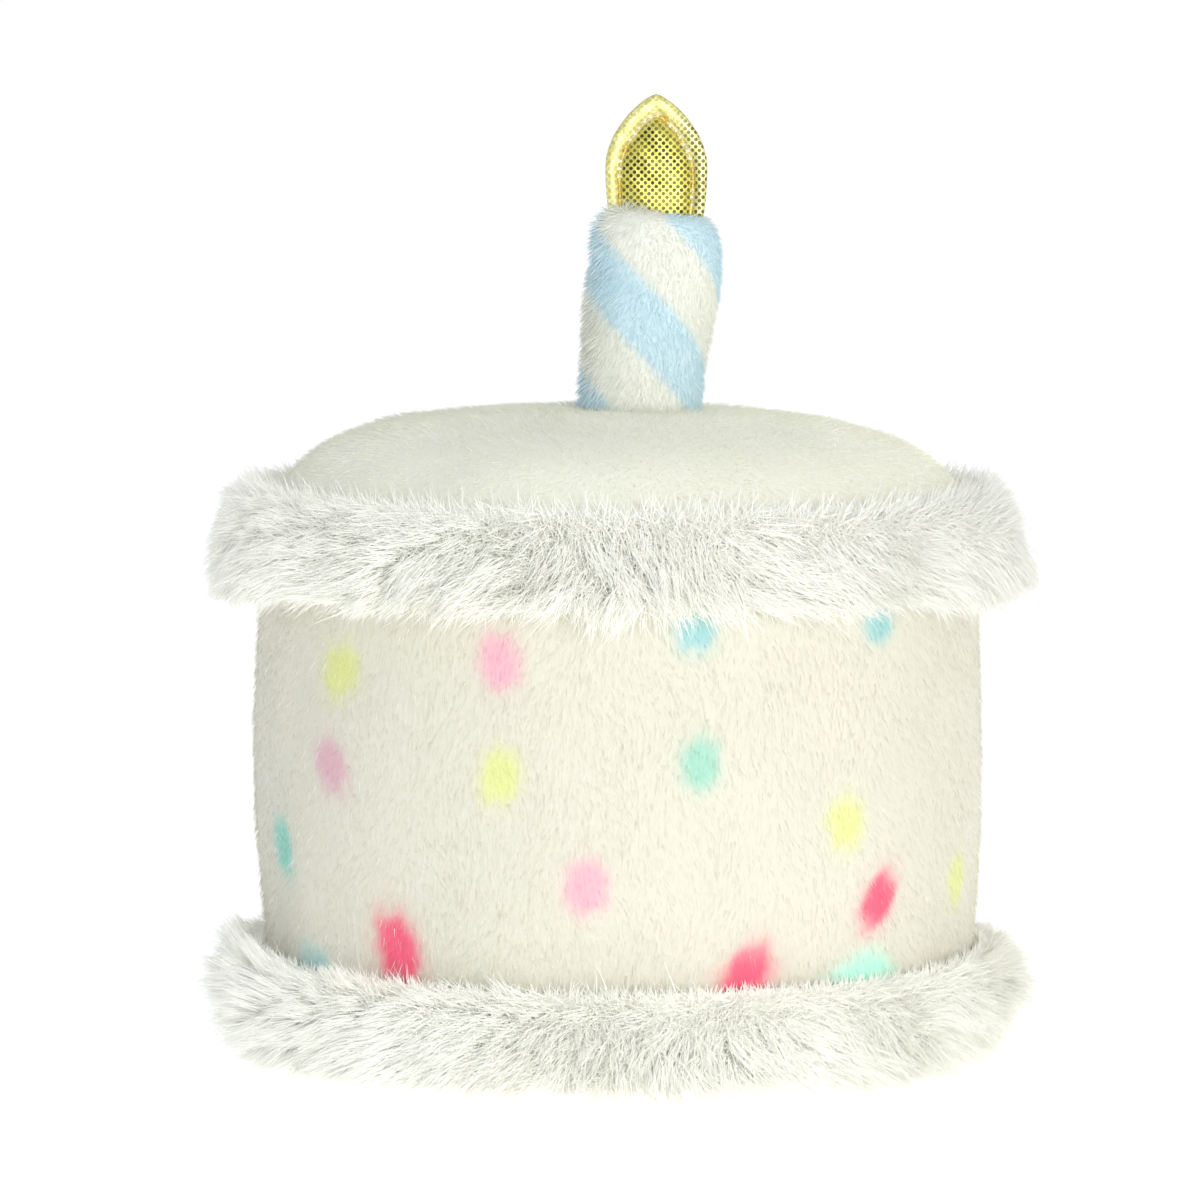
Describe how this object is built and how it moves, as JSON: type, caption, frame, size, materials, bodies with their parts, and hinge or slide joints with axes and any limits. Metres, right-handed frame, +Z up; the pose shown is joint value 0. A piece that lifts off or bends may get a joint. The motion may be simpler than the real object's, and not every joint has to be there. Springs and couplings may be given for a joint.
{
  "type": "plush toy birthday cake",
  "caption": "Stuffed plush birthday cake, a drum with a shaggy frill at its foot and its rim, a domed top, a striped plush candle and a padded gold flame.",
  "frame": {"origin": "on the floor, at the centre of the round base panel's flat underside", "axes": "+Z up through the cake towards the candle, -Y towards the shown front, +X to the right of the front"},
  "size_m": [0.1322, 0.1321, 0.1492],
  "materials": {
    "base_plush": "short soft pile",
    "side_plush": "short soft pile with soft-edged printed dots",
    "top_plush": "short soft pile",
    "frill_fur": "long shaggy pile",
    "candle_plush": "short soft pile with printed pale blue stripes",
    "flame_cloth": "gold pin-dot lame with a stitched border"
  },
  "bodies": {
    "root": {"cake_base": "base_plush", "cake_side": "side_plush", "cake_top": "top_plush", "top_frill": "frill_fur", "bottom_frill": "frill_fur", "candle": "candle_plush", "flame": "flame_cloth"}
  },
  "joints": []
}
